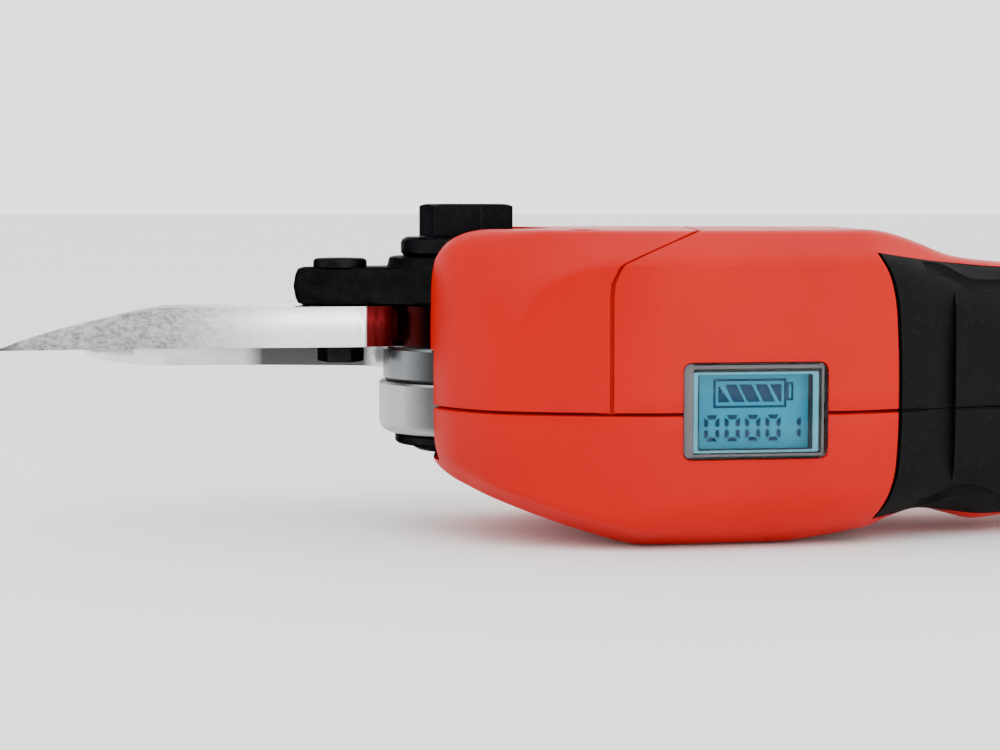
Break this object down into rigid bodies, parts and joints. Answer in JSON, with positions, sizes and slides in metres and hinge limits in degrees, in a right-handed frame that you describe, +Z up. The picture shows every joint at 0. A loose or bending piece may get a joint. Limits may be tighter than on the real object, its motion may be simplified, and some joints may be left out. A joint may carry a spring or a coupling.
{
  "type": "cordless bypass cutter",
  "caption": "Cordless one-hand cutter: motor-driven blade closing on a fixed hook, red two-half body with display, rubber grip, guarded trigger and slide-on battery.",
  "frame": {"origin": "centre of the footprint, on the floor that the tool lies on", "axes": "+X from the blades to the battery, +Y from the spine to the trigger side, +Z up, towards the tool's left side"},
  "size_m": [0.3402, 0.13, 0.0664],
  "materials": {
    "aluminium": "cast and turned",
    "black_plastic": "fine matt",
    "blade_steel": "ground",
    "board": "coated circuit board",
    "cell_wrap": "shrink wrap",
    "clear": "clear moulded window",
    "copper": "bare contact metal",
    "dark_steel": "blackened, forged",
    "lcd": "liquid crystal panel",
    "red": "moulded, slightly glossy",
    "rubber": "matt overmoulded rubber",
    "zinc_steel": "zinc plated"
  },
  "bodies": {
    "body": {"left_shell": "red", "right_shell": "red", "gear_cover": "red", "grip_left": "rubber", "grip_right": "rubber", "display_window": "clear", "display_frame": "black_plastic", "display_panel": "lcd", "gear_housing": "aluminium", "hook_blade": "blade_steel", "pivot_bolt": "dark_steel", "pivot_washer": "dark_steel", "pivot_bush": "zinc_steel", "pivot_nut": "dark_steel", "pinion_bearing": "zinc_steel", "gearbox_case": "dark_steel", "motor_can": "zinc_steel", "motor_end_bell": "black_plastic", "trigger_pin": "zinc_steel", "trigger_spring": "zinc_steel", "trigger_sensor": "black_plastic", "control_board": "board", "trigger_guard": "black_plastic", "battery_dock": "black_plastic", "shell_screw_1": "dark_steel", "shell_screw_2": "dark_steel", "shell_screw_3": "dark_steel", "shell_screw_4": "dark_steel", "shell_screw_5": "dark_steel", "shell_screw_6": "dark_steel", "cover_screw_1": "dark_steel", "cover_screw_2": "dark_steel", "hook_screw_1": "dark_steel", "hook_screw_2": "dark_steel"},
    "blade": {"moving_blade": "blade_steel", "drive_arm": "dark_steel", "blade_screw": "dark_steel", "blade_nut": "dark_steel"},
    "pinion": {"bevel_pinion": "zinc_steel"},
    "trigger": {"trigger": "black_plastic"},
    "power_button": {"power_button": "black_plastic"},
    "battery": {"battery_case": "black_plastic", "battery_lid": "black_plastic", "battery_screw_1": "dark_steel", "battery_screw_2": "dark_steel", "battery_screw_3": "dark_steel", "battery_screw_4": "dark_steel", "cell_1": "cell_wrap", "cell_2": "cell_wrap", "cell_3": "cell_wrap", "cell_4": "cell_wrap", "battery_contacts": "copper"},
    "latch": {"latch_button": "rubber"}
  },
  "joints": [
    {"name": "blade_pivot", "type": "hinge", "parent": "body", "child": "blade", "pos_m": [-0.07937, -0.02901, 0.0415], "axis": [0, 0, 1], "range_deg": [-22, 19]},
    {"name": "pinion_spin", "type": "hinge", "parent": "body", "child": "pinion", "pos_m": [-0.05437, -0.02901, 0.0365], "axis": [1, 0, 0], "range_deg": [-66, 76]},
    {"name": "trigger_pull", "type": "hinge", "parent": "body", "child": "trigger", "pos_m": [0.00463, -0.01151, 0.0295], "axis": [0, 0, -1], "range_deg": [0, 12], "stiffness_Nm_per_rad": 0.3, "springref_deg": -8.59},
    {"name": "power_button_press", "type": "slide", "parent": "body", "child": "power_button", "axis": [0, -1, 0], "range_m": [0, 0.0012], "stiffness_N_per_m": 800, "springref_m": -0.0006},
    {"name": "battery_slide", "type": "slide", "parent": "body", "child": "battery", "axis": [0.8829, 0.4695, 0], "range_m": [0, 0.03]},
    {"name": "latch_press", "type": "slide", "parent": "battery", "child": "latch", "axis": [-0.4695, 0.8829, 0], "range_m": [0, 0.001], "stiffness_N_per_m": 800, "springref_m": -0.0006}
  ],
  "couplings": [
    {"joint": "pinion_spin", "follows": "blade_pivot", "ratio": -3.3333}
  ]
}
